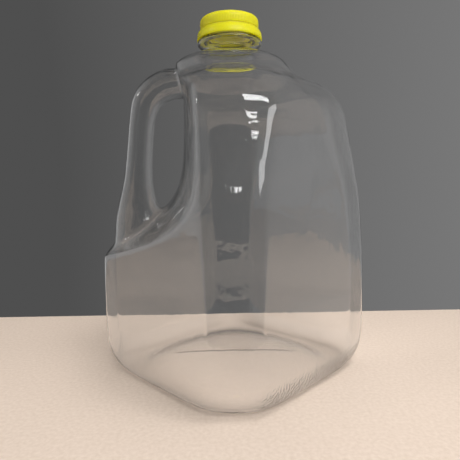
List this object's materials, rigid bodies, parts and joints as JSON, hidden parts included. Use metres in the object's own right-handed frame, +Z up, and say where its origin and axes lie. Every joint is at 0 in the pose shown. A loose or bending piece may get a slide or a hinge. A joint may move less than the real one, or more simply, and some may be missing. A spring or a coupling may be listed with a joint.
{
  "type": "water jug",
  "caption": "Clear blow-moulded one-gallon water jug with a see-through hollow corner handle, threaded neck, ribbed screw cap and tamper band.",
  "frame": {"origin": "centre of the base, on the surface that the jug stands on", "axes": "+Z up along the neck's axis, handle corner towards -X, broad front corner towards -Y"},
  "size_m": [0.1874, 0.1874, 0.2526],
  "materials": {
    "clear_pet": "clear gloss",
    "yellow_cap": "satin gloss",
    "liner": "matte"
  },
  "bodies": {
    "bottle": {"bottle_body": "clear_pet", "bottle_handle": "clear_pet", "bottle_neck": "clear_pet"},
    "seal": {"cap_liner": "liner"},
    "cap": {"screw_cap": "yellow_cap"},
    "band": {"tamper_band": "yellow_cap"}
  },
  "joints": [
    {"name": "cap_rise", "type": "slide", "parent": "bottle", "child": "seal", "axis": [0, 0, 1], "range_m": [0, 0.0075]},
    {"name": "cap_turn", "type": "hinge", "parent": "seal", "child": "cap", "pos_m": [0, 0, 0.248], "axis": [0, 0, 1], "range_deg": [0, 300]},
    {"name": "band_turn", "type": "hinge", "parent": "bottle", "child": "band", "pos_m": [0, 0, 0.2413], "axis": [0, 0, 1], "continuous": true}
  ],
  "couplings": [
    {"joint": "cap_rise", "follows": "cap_turn", "m_per_rad": 0.0014324}
  ]
}
